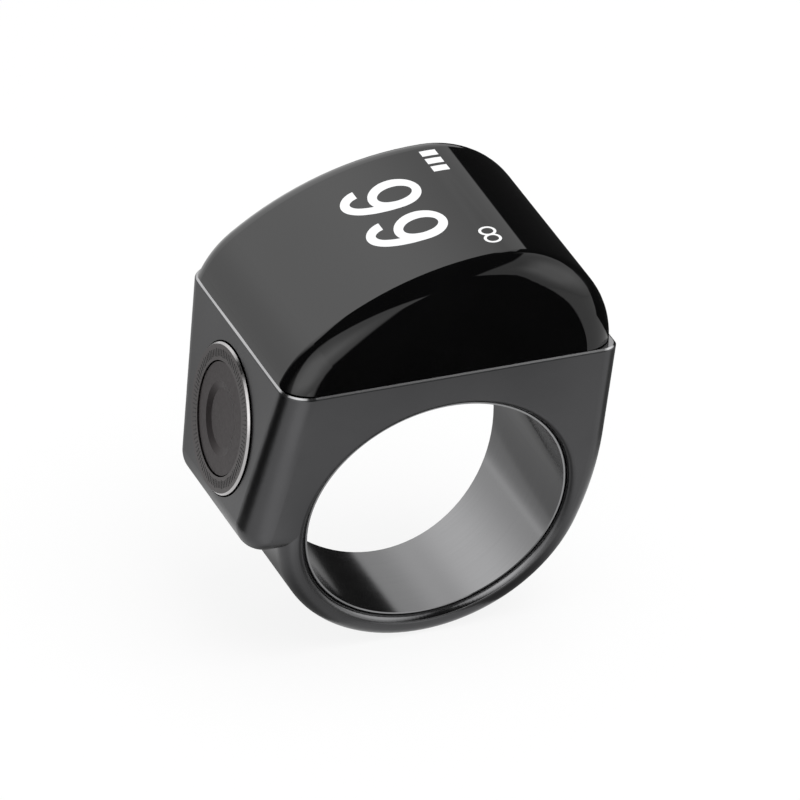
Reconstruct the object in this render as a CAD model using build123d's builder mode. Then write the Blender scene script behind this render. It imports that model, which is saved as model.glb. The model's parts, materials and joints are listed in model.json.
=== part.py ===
"""Finger ring that counts recitations, built piece by piece in one frame.

Millimetres. The origin is the middle of the finger hole, Y runs along the finger,
+Z points to the display and the press button sits on the -X side.
"""

import os
from math import atan, cos, hypot, radians, sin, sqrt

from build123d import *

os.makedirs("parts", exist_ok=True)

# Finger hole, liner and band
finger_radius = 10.0
liner_wall = 0.25
bond_gap = 0.02
rim_setback = 0.5
liner_edge_bevel = 0.12
band_wall = 1.83
bore_edge_round = 0.55
rim_flat = 0.03

# Head of the ring
head_room = 2.1
right_step = 0.7
head_half_depth = 10.87
depth_taper = 0.247
facet_lean = 0.157
ledge_drop = 1.55
block_round = 2.1
block_right = 3.0
seam_bevel = 0.2
past_everything = 30.0
below_band = 1.0
pick_margin = 0.01

# Hollow of the head
case_wall = 1.3
end_wall = 1.4
bore_wall = 0.9
left_floor_gap = 1.62
right_floor_gap = 1.4

# Crown lens and its seal
gasket_thickness = 0.1
gasket_inset = 0.3
gasket_width = 0.55
lens_setback_left = 0.13
lens_setback_right = 0.15
lens_setback_side = 0.12
lens_wall = 1.1
lens_edge_round = 2.5
crown_room = 3.02
crown_side_wall = 0.05
crown_shoulder_in = 2.6
crown_shoulder_rise = 3.2
tongue_gap = 0.1
tongue_wall = 0.6
tongue_drop = 0.6
tongue_root = 0.7
tongue_root_inset = 0.6
tongue_corner = 1.2

# Main board and the parts on it
board_gap = 0.43
board_thickness = 0.6
board_left_gap = 2.58
board_right_gap = 2.5
board_side_gap = 1.06
board_corner = 1.0
screw_inset = 2.3
screw_gap = 0.1
screw_radius = 0.5
screw_fit = 0.03
screw_head_radius = 0.95
screw_head_height = 0.45
screw_length = 2.0
post_radius = 1.2
post_drop = 4.0
pilot_extra = 0.2
board_hole_fit = 0.15
drive_radius = 0.4
drive_depth = 0.22
controller_side = 4.0
controller_height = 0.85
controller_inset = 2.5
charger_length = 1.6
charger_depth = 2.0
charger_height = 0.8
crystal_length = 1.5
crystal_depth = 3.2
crystal_height = 0.7
crystal_corner = 0.35
chip_gap = 0.3
chip_screw_gap = 0.6
connector_height = 0.8
switch_connector_inset = 1.0
switch_connector_length = 1.4
switch_connector_depth = 3.4
display_connector_inset = 1.8
display_connector_length = 1.5
passive_length = 0.5
passive_depth = 1.0
passive_height = 0.35
passive_inset = 1.4
passive_pitch = 1.2
passive_screw_gap = 0.35
passive_plug_gap = 0.4
near_passive_gap = 1.0
near_passive_offset = 1.2

# Battery
battery_left_gap = 1.5
battery_right_gap = 1.05
battery_side_gap = 1.4
battery_thickness = 2.6
battery_round = 0.8
pad_thickness = 0.15
pad_margin = 0.5
tab_width = 1.6
tab_thickness = 0.12
tab_inset = 1.4
tab_rise = 0.9
tab_reach = 0.4
tab_foot = 0.9

# Display
display_lift = 1.55
display_tilt = 8.0
panel_left_gap = 6.25
panel_right_gap = 4.35
panel_overhang = 0.05
panel_thickness = 1.3
bracket_plate = 0.6
bracket_margin = 0.3
bracket_side = 0.7
bracket_inset = 0.05
bracket_end_inset = 0.9
substrate_thickness = 0.65
cover_ledge = 2.0
driver_width = 0.8
driver_depth = 7.0
driver_height = 0.3
driver_margin = 0.3
flex_thickness = 0.12
flex_bend = 0.4
display_flex_margin = 0.6
display_flex_bond = 0.7
display_flex_gap = 1.75
display_flex_drop = 0.9

# Button
bezel_radius = 5.65
button_offset = 0.56
bezel_width = 1.35
bezel_proud = 0.25
bezel_seat = 0.85
bezel_bevel = 0.15
bezel_gap = 0.12
cap_gap = 0.1
cap_proud = 0.15
flange_overlap = 0.45
flange_clearance = 0.2
flange_gap = 0.05
flange_thickness = 0.35
dish_radius = 2.8
dish_slope = 0.6
dish_depth = 0.2
stem_radius = 1.2
stem_length = 0.68
seal_section = 0.24
seal_depth = 0.5
seal_fit = 0.01
seal_squeeze_gap = 0.03

# Switch behind the button
switch_gap = 0.02
switch_side = 3.0
cover_thickness = 0.1
housing_height = 0.9
pocket_radius = 1.25
pocket_depth = 0.5
plunger_radius = 0.6
plunger_proud = 0.25
plunger_flange_radius = 1.0
plunger_flange_thickness = 0.15
plunger_flange_gap = 0.05
plunger_fit = 0.05
dome_radius = 1.2
dome_rise = 0.2
dome_thickness = 0.05
switch_flex_side = 4.4
switch_flex_width = 2.4
switch_flex_start = 1.5
switch_flex_dip = 0.18
switch_flex_gap = 0.7
stiffener_width = 6.4
stiffener_height = 5.6
stiffener_thickness = 0.4
seat_wall = 1.27
seat_depth_inward = 3.0

# Charging contacts
contact_spacing = 5.0
contact_radius = 0.7
contact_sink = 0.05
bushing_wall = 0.4
bushing_fit = 0.02

# Vibration motor
motor_radius = 2.5
motor_length = 1.95
motor_sheet = 0.2
motor_end_wall = 0.4
motor_bore_gap = 0.2
motor_shaft_radius = 0.3
rotor_radius = 2.05
rotor_hub_radius = 0.6
rotor_bore_fit = 0.04
rotor_thickness = 0.9
rotor_gap = 0.3
motor_pad_radius = 2.1
motor_pad_thickness = 0.13

# Radii and heights that follow from the sizes above
bore_radius = finger_radius + liner_wall + bond_gap
band_radius = bore_radius + band_wall
band_edge_round = band_wall - bore_edge_round - rim_flat
inner_wall_radius = bore_radius + bore_wall
wedge_bottom = -band_radius - below_band
seam_height = inner_wall_radius + head_room
lens_base = seam_height + gasket_thickness
board_height = inner_wall_radius + board_gap
board_top = board_height + board_thickness
battery_top = board_top + pad_thickness + battery_thickness
display_top = battery_top + display_lift + bracket_plate + panel_thickness
crown_apex_height = display_top + crown_room
ledge_height = -ledge_drop
button_height = (seam_height + ledge_height) / 2 + button_offset
left_pocket_floor = button_height - stiffener_height / 2 - left_floor_gap
plug_height = board_top + connector_height / 2

# Depths behind the button's facet
bezel_bore = bezel_radius - bezel_width
cap_radius = bezel_bore - cap_gap
flange_radius = bezel_bore + flange_overlap
flange_front = bezel_seat + flange_gap
flange_back = flange_front + flange_thickness
stem_end = flange_back + stem_length
cover_depth = stem_end + switch_gap + plunger_proud
housing_front = cover_depth + cover_thickness
housing_back = housing_front + housing_height
switch_seat = housing_back + flex_thickness + stiffener_thickness + bond_gap


def bore_side(height):
    """How far the wall round the finger hole reaches out at a height."""
    return sqrt(inner_wall_radius**2 - height**2)


# Ends of the head, with the switch on the left and the motor on the right
facet_middle = -bore_side(button_height) - seat_wall - switch_seat
head_left = facet_middle + facet_lean * (seam_height - button_height)
head_right = band_radius + right_step
motor_inner_face = head_right - case_wall - motor_pad_thickness - motor_length
motor_low = sqrt(inner_wall_radius**2 - (motor_inner_face - motor_bore_gap) ** 2)
motor_height = motor_low + motor_radius
motor_room = motor_length - motor_sheet - motor_end_wall
right_pocket_floor = motor_low - right_floor_gap
facet_angle = atan(facet_lean)


def half_depth(height):
    """Half the depth of the ring's tapered front and back at a height."""
    return head_half_depth - depth_taper * (seam_height - height)


def facet_x(height):
    """Where the leaning button facet stands at a height."""
    return head_left + facet_lean * (height - seam_height)


def wedge(inset, top, bottom):
    """Tapered outline seen along X, drawn inside the outer one by an inset."""
    with BuildSketch(Plane.YZ) as outline:
        Polygon(
            (half_depth(top) - inset, top),
            (half_depth(bottom) - inset, bottom),
            (inset - half_depth(bottom), bottom),
            (inset - half_depth(top), top),
            align=None,
        )
    return outline.sketch


# Places along and across the head
lens_left = head_left + lens_setback_left
lens_right = head_right - lens_setback_right
lens_half_depth = head_half_depth - lens_setback_side
crown_side_radius = crown_apex_height - lens_base - crown_side_wall
crown_apex_x = lens_right - crown_side_radius
tongue_left = head_left + case_wall + tongue_gap
tongue_right = head_right - case_wall - tongue_gap
board_left = head_left + case_wall + board_left_gap
board_right = head_right - case_wall - board_right_gap
board_middle = (board_left + board_right) / 2
board_half_depth = half_depth(board_height) - end_wall - board_side_gap
bracket_side_outer = board_half_depth - bracket_inset
panel_depth = 2 * (bracket_side_outer + panel_overhang)
screw_spread_x = board_right - board_left - 2 * screw_inset
screw_y = bracket_side_outer - bracket_side - screw_gap - screw_head_radius
chip_limit_y = screw_y - screw_head_radius - chip_screw_gap
passive_y = screw_y - screw_head_radius - passive_screw_gap - passive_depth / 2
switch_connector_x = board_left + switch_connector_inset
chips_left = switch_connector_x + switch_connector_length / 2 + chip_gap
display_connector_x = board_right - display_connector_inset
display_connector_depth = 2 * (passive_y - passive_depth / 2 - passive_plug_gap)
display_flex_width = display_connector_depth - 2 * display_flex_margin
battery_left = chips_left + crystal_length + battery_left_gap
battery_right = display_connector_x - display_connector_length / 2 - battery_right_gap
battery_length = battery_right - battery_left
battery_x = (battery_left + battery_right) / 2
battery_depth = 2 * (board_half_depth - battery_side_gap)
tab_spacing = battery_depth - 2 * tab_inset
panel_left = lens_left + lens_wall + panel_left_gap
panel_right = lens_right - lens_wall - panel_right_gap
panel_length = panel_right - panel_left
bushing_radius = contact_radius + bushing_wall
tongue_half_depth = half_depth(seam_height - tongue_drop) - end_wall - tongue_gap
button_face = Plane(
    origin=(facet_x(button_height), 0, button_height),
    x_dir=(0, 1, 0),
    z_dir=(-cos(facet_angle), 0, sin(facet_angle)),
)
display_plane = Plane(
    origin=((panel_left + panel_right) / 2, 0, display_top),
    x_dir=(cos(radians(display_tilt)), 0, sin(radians(display_tilt))),
    z_dir=(-sin(radians(display_tilt)), 0, cos(radians(display_tilt))),
)
bore_plane = Plane.XZ

# Round band with the right-hand wall of the head swept into it
right_wall_end = right_pocket_floor
blend_radius = (head_right + band_radius) / 2 + right_wall_end**2 / (2 * (head_right - band_radius))
blend_x = head_right - blend_radius
blend_reach = hypot(blend_x, right_wall_end)
blend_start = (-blend_x * band_radius / blend_reach, -right_wall_end * band_radius / blend_reach)

with BuildPart() as band_body:
    with BuildSketch(bore_plane):
        with BuildLine():
            Line((0, band_radius), (0, seam_height))
            Line((0, seam_height), (head_right, seam_height))
            Line((head_right, seam_height), (head_right, right_wall_end))
            TangentArc((head_right, right_wall_end), blend_start, tangent=(0, -1))
            ThreePointArc(blend_start, (-band_radius, 0), (0, band_radius))
        make_face()
    extrude(amount=past_everything, both=True)
    extrude(
        wedge(0, seam_height, wedge_bottom),
        amount=past_everything,
        both=True,
        mode=Mode.INTERSECT,
    )
    outer_edges = [
        edge
        for edge in band_body.edges()
        if abs((edge @ 0.5).Y) > pick_margin
        and abs((edge @ 0.5).X) > pick_margin
        and (edge @ 0.5).Z < seam_height - pick_margin
    ]
    fillet(outer_edges, radius=band_edge_round)

# Block that carries the button, with its leaning facet and rounded foot
with BuildPart() as button_block:
    with BuildSketch(Plane.XY.offset(seam_height)):
        with Locations(((head_left + block_right) / 2, 0)):
            Rectangle(block_right - head_left, 2 * head_half_depth)
    with BuildSketch(Plane.XY.offset(ledge_height)):
        with Locations(((facet_x(ledge_height) + block_right) / 2, 0)):
            Rectangle(block_right - facet_x(ledge_height), 2 * half_depth(ledge_height))
    loft()
    block_edges = [
        edge
        for edge in button_block.edges()
        if (edge @ 0.5).X < block_right - pick_margin and (edge @ 0.5).Z < seam_height - pick_margin
    ]
    fillet(block_edges, radius=block_round)

# Hollow for the electronics, above and beside the finger hole
with BuildPart() as hollow:
    with BuildSketch(bore_plane):
        Polygon(
            (head_left + case_wall, seam_height),
            (facet_x(left_pocket_floor) + case_wall, left_pocket_floor),
            (0, left_pocket_floor),
            (0, right_pocket_floor),
            (head_right - case_wall, right_pocket_floor),
            (head_right - case_wall, seam_height),
            align=None,
        )
        Circle(inner_wall_radius, mode=Mode.SUBTRACT)
    extrude(amount=past_everything, both=True)
    extrude(
        wedge(end_wall, seam_height, left_pocket_floor),
        amount=past_everything,
        both=True,
        mode=Mode.INTERSECT,
    )

with BuildPart() as ring_shell:
    add(band_body.part)
    add(button_block.part)
    chamfer(ring_shell.faces().sort_by(Axis.Z)[-1].edges(), length=seam_bevel)
    add(hollow.part, mode=Mode.SUBTRACT)
    with BuildSketch(Plane.XY.offset(board_height)):
        with Locations((board_middle, 0)):
            with GridLocations(screw_spread_x, 2 * screw_y, 2, 2):
                Circle(post_radius)
    extrude(amount=-post_drop)
    with BuildSketch(button_face.offset(-switch_seat)):
        Rectangle(stiffener_width, stiffener_height)
    extrude(amount=-seat_depth_inward)
    with BuildSketch(bore_plane):
        Circle(bore_radius)
    extrude(amount=past_everything, both=True, mode=Mode.SUBTRACT)
    bore_rims = [
        edge
        for edge in ring_shell.edges().filter_by(GeomType.ELLIPSE)
        if abs(hypot((edge @ 0).X, (edge @ 0).Z) - bore_radius) < pick_margin
    ]
    fillet(bore_rims, radius=bore_edge_round)
    with BuildSketch(button_face.offset(-bezel_seat - bond_gap)):
        Circle(bezel_radius + bezel_gap)
    extrude(amount=bezel_seat + bezel_proud, mode=Mode.SUBTRACT)
    with BuildSketch(button_face):
        Circle(flange_radius + flange_clearance)
    extrude(amount=-cover_depth, mode=Mode.SUBTRACT)
    with BuildSketch(Plane.XY):
        with GridLocations(0, contact_spacing, 1, 2):
            Circle(bushing_radius + bushing_fit)
    extrude(amount=board_height, mode=Mode.SUBTRACT)
    with BuildSketch(Plane.XY.offset(board_height)):
        with Locations((board_middle, 0)):
            with GridLocations(screw_spread_x, 2 * screw_y, 2, 2):
                Circle(screw_radius + screw_fit)
    extrude(amount=board_thickness - screw_length - pilot_extra, mode=Mode.SUBTRACT)
ring_shell.part.label = "ring_shell"
export_step(ring_shell.part, "parts/ring_shell.step")

# Thin metal sleeve that lines the finger hole
with BuildPart() as finger_liner:
    with BuildSketch(bore_plane):
        Circle(finger_radius + liner_wall)
        Circle(finger_radius, mode=Mode.SUBTRACT)
    extrude(amount=past_everything, both=True)
    extrude(
        wedge(rim_setback, seam_height, wedge_bottom),
        amount=past_everything,
        both=True,
        mode=Mode.INTERSECT,
    )
    liner_rims = [
        edge
        for edge in finger_liner.edges().filter_by(GeomType.ELLIPSE)
        if abs(hypot((edge @ 0).X, (edge @ 0).Z) - finger_radius - liner_wall) < pick_margin
    ]
    chamfer(liner_rims, length=liner_edge_bevel)
    with BuildSketch(Plane.XY):
        with GridLocations(0, contact_spacing, 1, 2):
            Circle(bushing_radius + bushing_fit)
    extrude(amount=board_height, mode=Mode.SUBTRACT)
finger_liner.part.label = "finger_liner"
export_step(finger_liner.part, "parts/finger_liner.step")


def crown_outline(inset):
    """Arch of the crown seen along the finger, drawn inside the outer one by an inset."""
    with BuildSketch(Plane.XZ) as outline:
        with BuildLine():
            side = CenterArc((crown_apex_x, crown_apex_height - crown_side_radius), crown_side_radius, 0, 90)
            shoulder = (lens_left + crown_shoulder_in, lens_base + crown_shoulder_rise)
            top = TangentArc((crown_apex_x, crown_apex_height), shoulder, tangent=(-1, 0))
            left = TangentArc(shoulder, (lens_left, lens_base), tangent=top % 1)
            foot = left @ 1
            if inset:
                foot = foot + (left % 1) * (inset / -(left % 1).Y)
                Line(left @ 1, foot)
            corner = (lens_right, lens_base - inset)
            Line(foot, corner)
            Line(corner, side @ 0)
        make_face()
        if inset:
            offset(amount=-inset, mode=Mode.REPLACE)
    return outline.sketch


# Dark crown lens over the display
with BuildPart() as lens_hollow:
    extrude(crown_outline(lens_wall), amount=lens_half_depth - lens_wall, both=True)
    inner_arches = [
        edge
        for edge in lens_hollow.edges()
        if abs((edge @ 0.5).Y) > pick_margin and (edge @ 0.5).Z > lens_base + pick_margin
    ]
    fillet(inner_arches, radius=lens_edge_round - lens_wall)

with BuildPart() as crown_lens:
    extrude(crown_outline(0), amount=lens_half_depth, both=True)
    arches = [
        edge
        for edge in crown_lens.edges()
        if abs((edge @ 0.5).Y) > pick_margin and (edge @ 0.5).Z > lens_base + pick_margin
    ]
    fillet(arches, radius=lens_edge_round)
    add(lens_hollow.part, mode=Mode.SUBTRACT)
    with BuildSketch(Plane.XY.offset(lens_base)):
        with Locations(((lens_left + lens_right) / 2, 0)):
            RectangleRounded(
                lens_right - lens_left - 2 * tongue_root_inset,
                2 * (lens_half_depth - tongue_root_inset),
                lens_edge_round - tongue_root_inset,
            )
        with Locations(((tongue_left + tongue_right) / 2, 0)):
            RectangleRounded(
                tongue_right - tongue_left - 2 * tongue_wall,
                2 * (tongue_half_depth - tongue_wall),
                tongue_corner - tongue_wall,
                mode=Mode.SUBTRACT,
            )
    extrude(amount=tongue_root)
    with BuildSketch(Plane.XY.offset(lens_base)):
        with Locations(((tongue_left + tongue_right) / 2, 0)):
            RectangleRounded(tongue_right - tongue_left, 2 * tongue_half_depth, tongue_corner)
            RectangleRounded(
                tongue_right - tongue_left - 2 * tongue_wall,
                2 * (tongue_half_depth - tongue_wall),
                tongue_corner - tongue_wall,
                mode=Mode.SUBTRACT,
            )
    extrude(amount=-tongue_drop)
crown_lens.part.label = "crown_lens"
export_step(crown_lens.part, "parts/crown_lens.step")

# Bonded seal between the lens and the rim of the shell
with BuildPart() as lens_gasket:
    with BuildSketch(Plane.XY.offset(seam_height)):
        with Locations(((lens_left + lens_right) / 2, 0)):
            RectangleRounded(
                lens_right - lens_left - 2 * gasket_inset,
                2 * (lens_half_depth - gasket_inset),
                lens_edge_round - gasket_inset,
            )
            RectangleRounded(
                lens_right - lens_left - 2 * (gasket_inset + gasket_width),
                2 * (lens_half_depth - gasket_inset - gasket_width),
                lens_edge_round - gasket_inset - gasket_width,
                mode=Mode.SUBTRACT,
            )
    extrude(amount=gasket_thickness)
lens_gasket.part.label = "lens_gasket"
export_step(lens_gasket.part, "parts/lens_gasket.step")

# Main board on its four posts
with BuildPart() as main_board:
    with BuildSketch(Plane.XY.offset(board_height)):
        with Locations((board_middle, 0)):
            RectangleRounded(board_right - board_left, 2 * board_half_depth, board_corner)
            with GridLocations(screw_spread_x, 2 * screw_y, 2, 2):
                Circle(screw_radius + board_hole_fit, mode=Mode.SUBTRACT)
    extrude(amount=board_thickness)
main_board.part.label = "main_board"
export_step(main_board.part, "parts/main_board.step")

with BuildPart() as board_screws:
    with BuildSketch(Plane.XY.offset(board_top)):
        with Locations((board_middle, 0)):
            with GridLocations(screw_spread_x, 2 * screw_y, 2, 2):
                Circle(screw_head_radius)
    extrude(amount=screw_head_height)
    with BuildSketch(Plane.XY.offset(board_top)):
        with Locations((board_middle, 0)):
            with GridLocations(screw_spread_x, 2 * screw_y, 2, 2):
                Circle(screw_radius)
    extrude(amount=-screw_length)
    with BuildSketch(Plane.XY.offset(board_top + screw_head_height)):
        with Locations((board_middle, 0)):
            with GridLocations(screw_spread_x, 2 * screw_y, 2, 2):
                RegularPolygon(drive_radius, 6)
    extrude(amount=-drive_depth, mode=Mode.SUBTRACT)
board_screws.part.label = "board_screws"
export_step(board_screws.part, "parts/board_screws.step")

# Chips and connectors on the board
with BuildPart() as controller_chip:
    with BuildSketch(Plane.XY.offset(board_height)):
        with Locations((board_left + controller_inset, 0)):
            Rectangle(controller_side, controller_side)
    extrude(amount=-controller_height)
controller_chip.part.label = "controller_chip"
export_step(controller_chip.part, "parts/controller_chip.step")

with BuildPart() as charger_chip:
    with BuildSketch(Plane.XY.offset(board_top)):
        with Locations((chips_left + charger_length / 2, chip_limit_y - charger_depth / 2)):
            Rectangle(charger_length, charger_depth)
    extrude(amount=charger_height)
charger_chip.part.label = "charger_chip"
export_step(charger_chip.part, "parts/charger_chip.step")

with BuildPart() as clock_crystal:
    with BuildSketch(Plane.XY.offset(board_top)):
        with Locations((chips_left + crystal_length / 2, crystal_depth / 2 - chip_limit_y)):
            Rectangle(crystal_length, crystal_depth)
    extrude(amount=crystal_height)
    fillet(clock_crystal.edges().filter_by(Axis.Z), radius=crystal_corner)
clock_crystal.part.label = "clock_crystal"
export_step(clock_crystal.part, "parts/clock_crystal.step")

with BuildPart() as board_passives:
    with BuildSketch(Plane.XY.offset(board_top)):
        with Locations((board_right - passive_inset, 0)):
            with GridLocations(passive_pitch, 2 * passive_y, 2, 2):
                Rectangle(passive_length, passive_depth)
        with Locations((battery_left - near_passive_gap, 0)):
            with GridLocations(0, 2 * near_passive_offset, 1, 2):
                Rectangle(passive_length, passive_depth)
    extrude(amount=passive_height)
board_passives.part.label = "board_passives"
export_step(board_passives.part, "parts/board_passives.step")

with BuildPart() as switch_connector:
    with BuildSketch(Plane.XY.offset(board_top)):
        with Locations((switch_connector_x, 0)):
            Rectangle(switch_connector_length, switch_connector_depth)
    extrude(amount=connector_height)
switch_connector.part.label = "switch_connector"
export_step(switch_connector.part, "parts/switch_connector.step")

with BuildPart() as display_connector:
    with BuildSketch(Plane.XY.offset(board_top)):
        with Locations((display_connector_x, 0)):
            Rectangle(display_connector_length, display_connector_depth)
    extrude(amount=connector_height)
display_connector.part.label = "display_connector"
export_step(display_connector.part, "parts/display_connector.step")

# Battery on its pad, with two tabs down to the board
with BuildPart() as battery_pad:
    with BuildSketch(Plane.XY.offset(board_top)):
        with Locations((battery_x, 0)):
            Rectangle(battery_length - 2 * pad_margin, battery_depth - 2 * pad_margin)
    extrude(amount=pad_thickness)
battery_pad.part.label = "battery_pad"
export_step(battery_pad.part, "parts/battery_pad.step")

with BuildPart() as battery_cell:
    with BuildSketch(Plane.XY.offset(board_top + pad_thickness)):
        with Locations((battery_x, 0)):
            RectangleRounded(battery_length, battery_depth, battery_round)
    extrude(amount=battery_thickness)
battery_cell.part.label = "battery_cell"
export_step(battery_cell.part, "parts/battery_cell.step")

tab_start = battery_left
tab_turn = tab_start - tab_reach
tab_top = board_top + tab_rise
with BuildPart() as battery_tabs:
    for side in (-1, 1):
        with BuildSketch(Plane.XZ.offset(side * tab_spacing / 2)):
            Polygon(
                (tab_start, tab_top),
                (tab_turn, tab_top),
                (tab_turn, board_top),
                (tab_turn - tab_foot, board_top),
                (tab_turn - tab_foot, board_top + tab_thickness),
                (tab_turn - tab_thickness, board_top + tab_thickness),
                (tab_turn - tab_thickness, tab_top + tab_thickness),
                (tab_start, tab_top + tab_thickness),
                align=None,
            )
        extrude(amount=tab_width / 2, both=True)
battery_tabs.part.label = "battery_tabs"
export_step(battery_tabs.part, "parts/battery_tabs.step")

# Display: two glass sheets on a tilted bracket, driven through a flex
with BuildPart() as display_substrate:
    with BuildSketch(display_plane.offset(-panel_thickness)):
        Rectangle(panel_length, panel_depth)
    extrude(amount=substrate_thickness)
display_substrate.part.label = "display_substrate"
export_step(display_substrate.part, "parts/display_substrate.step")

with BuildPart() as display_cover:
    with BuildSketch(display_plane.offset(substrate_thickness - panel_thickness)):
        with Locations((-cover_ledge / 2, 0)):
            Rectangle(panel_length - cover_ledge, panel_depth)
    extrude(amount=panel_thickness - substrate_thickness)
display_cover.part.label = "display_cover"
export_step(display_cover.part, "parts/display_cover.step")

driver_x = panel_length / 2 - cover_ledge + driver_margin + driver_width / 2
with BuildPart() as display_driver:
    with BuildSketch(display_plane.offset(substrate_thickness - panel_thickness)):
        with Locations((driver_x, 0)):
            Rectangle(driver_width, driver_depth)
    extrude(amount=driver_height)
display_driver.part.label = "display_driver"
export_step(display_driver.part, "parts/display_driver.step")

with BuildPart() as display_bracket:
    with BuildSketch(display_plane.offset(-panel_thickness)):
        Rectangle(panel_length + 2 * bracket_margin, panel_depth + 2 * bracket_margin)
    extrude(amount=-bracket_plate)
    plate_middle = display_plane.offset(-panel_thickness - bracket_plate / 2)
    side_reach = panel_length / 2 - bracket_end_inset
    side_left = plate_middle.from_local_coords((-side_reach, 0, 0))
    side_right = plate_middle.from_local_coords((side_reach, 0, 0))
    for side in (-1, 1):
        with BuildSketch(Plane.XZ.offset(side * (bracket_side_outer - bracket_side / 2))):
            Polygon(
                (side_left.X, board_top),
                (side_right.X, board_top),
                (side_right.X, side_right.Z),
                (side_left.X, side_left.Z),
                align=None,
            )
        extrude(amount=bracket_side / 2, both=True)
display_bracket.part.label = "display_bracket"
export_step(display_bracket.part, "parts/display_bracket.step")

bond_plane = display_plane.offset(substrate_thickness - panel_thickness + flex_thickness / 2)
bond_start = bond_plane.from_local_coords((panel_length / 2 - display_flex_bond, 0, 0))
bond_end = bond_plane.from_local_coords((panel_length / 2 + display_flex_bond, 0, 0))
display_flex_x = lens_right - lens_wall - display_flex_gap
with BuildPart() as display_flex:
    with BuildSketch(Plane.XZ):
        with BuildLine():
            FilletPolyline(
                (bond_start.X, bond_start.Z),
                (bond_end.X, bond_end.Z),
                (display_flex_x, display_top - display_flex_drop),
                (display_flex_x, plug_height),
                (display_connector_x + display_connector_length / 2, plug_height),
                radius=flex_bend,
            )
        trace(line_width=flex_thickness)
    extrude(amount=display_flex_width / 2, both=True)
display_flex.part.label = "display_flex"
export_step(display_flex.part, "parts/display_flex.step")

# Charging contacts in their bushings, at the top of the finger hole
with BuildPart() as charge_contacts:
    with BuildSketch(Plane.XY.offset(finger_radius + contact_sink)):
        with GridLocations(0, contact_spacing, 1, 2):
            Circle(contact_radius)
    extrude(amount=board_height - finger_radius - contact_sink)
charge_contacts.part.label = "charge_contacts"
export_step(charge_contacts.part, "parts/charge_contacts.step")

with BuildPart() as contact_bushings:
    with BuildSketch(Plane.XY.offset(finger_radius + contact_sink)):
        with GridLocations(0, contact_spacing, 1, 2):
            Circle(bushing_radius)
            Circle(contact_radius + bushing_fit, mode=Mode.SUBTRACT)
    extrude(amount=inner_wall_radius - finger_radius)
contact_bushings.part.label = "contact_bushings"
export_step(contact_bushings.part, "parts/contact_bushings.step")

# Button: fixed bezel, moving cap and the seal in its groove
with BuildPart() as button_bezel:
    with BuildSketch(button_face.offset(-bezel_seat)):
        Circle(bezel_radius)
        Circle(bezel_bore, mode=Mode.SUBTRACT)
    extrude(amount=bezel_seat + bezel_proud)
    chamfer(
        button_bezel.edges().filter_by(GeomType.CIRCLE).group_by(SortBy.RADIUS)[-1].sort_by(Axis.X)[0],
        length=bezel_bevel,
    )
button_bezel.part.label = "button_bezel"
export_step(button_bezel.part, "parts/button_bezel.step")

seal_outer = bezel_bore - seal_squeeze_gap
with BuildPart() as button_cap:
    with BuildSketch(button_face.offset(cap_proud)):
        Circle(cap_radius)
    extrude(amount=-cap_proud - flange_front)
    with BuildSketch(button_face.offset(-flange_back)):
        Circle(flange_radius)
    extrude(amount=flange_thickness)
    with BuildSketch(button_face.offset(-stem_end)):
        Circle(stem_radius)
    extrude(amount=stem_end - flange_back)
    with Locations(button_face.offset(cap_proud)):
        Cone(
            dish_radius - dish_slope,
            dish_radius,
            dish_depth,
            align=(Align.CENTER, Align.CENTER, Align.MAX),
            mode=Mode.SUBTRACT,
        )
    with BuildSketch(button_face.offset(-seal_depth)):
        Circle(cap_radius + cap_gap)
        Circle(seal_outer - 2 * seal_section - seal_fit, mode=Mode.SUBTRACT)
    extrude(amount=seal_section + seal_fit, both=True, mode=Mode.SUBTRACT)
button_cap.part.label = "button_cap"
export_step(button_cap.part, "parts/button_cap.step")

with BuildPart() as cap_seal:
    with Locations(button_face.offset(-seal_depth)):
        Torus(seal_outer - seal_section, seal_section)
cap_seal.part.label = "cap_seal"
export_step(cap_seal.part, "parts/cap_seal.step")

# Snap switch behind the cap, on a flex with a stiffener
with BuildPart() as switch_cover:
    with BuildSketch(button_face.offset(-housing_front)):
        Rectangle(switch_side, switch_side)
        Circle(plunger_radius + plunger_fit, mode=Mode.SUBTRACT)
    extrude(amount=cover_thickness)
switch_cover.part.label = "switch_cover"
export_step(switch_cover.part, "parts/switch_cover.step")

with BuildPart() as switch_housing:
    with BuildSketch(button_face.offset(-housing_back)):
        Rectangle(switch_side, switch_side)
    extrude(amount=housing_height)
    with BuildSketch(button_face.offset(-housing_front)):
        Circle(pocket_radius)
    extrude(amount=-pocket_depth, mode=Mode.SUBTRACT)
switch_housing.part.label = "switch_housing"
export_step(switch_housing.part, "parts/switch_housing.step")

plunger_back = housing_front + plunger_flange_gap + plunger_flange_thickness
with BuildPart() as switch_plunger:
    with BuildSketch(button_face.offset(-plunger_back)):
        Circle(plunger_flange_radius)
    extrude(amount=plunger_flange_thickness)
    with BuildSketch(button_face.offset(-plunger_back)):
        Circle(plunger_radius)
    extrude(amount=plunger_back - stem_end - switch_gap)
switch_plunger.part.label = "switch_plunger"
export_step(switch_plunger.part, "parts/switch_plunger.step")

dome_floor = housing_front + pocket_depth
dome_ball = (dome_radius**2 + dome_rise**2) / (2 * dome_rise)
dome_section = Plane(origin=button_face.origin, x_dir=(0, 1, 0), z_dir=button_face.y_dir)
with BuildPart() as switch_dome:
    with BuildSketch(dome_section):
        with Locations((0, dome_floor + dome_ball - dome_rise)):
            Circle(dome_ball)
            Circle(dome_ball - dome_thickness, mode=Mode.SUBTRACT)
        with Locations((dome_radius / 2, dome_floor - dome_rise)):
            Rectangle(dome_radius, 2 * dome_rise, mode=Mode.INTERSECT)
    revolve(axis=Axis(button_face.origin, button_face.z_dir))
switch_dome.part.label = "switch_dome"
export_step(switch_dome.part, "parts/switch_dome.step")

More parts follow.
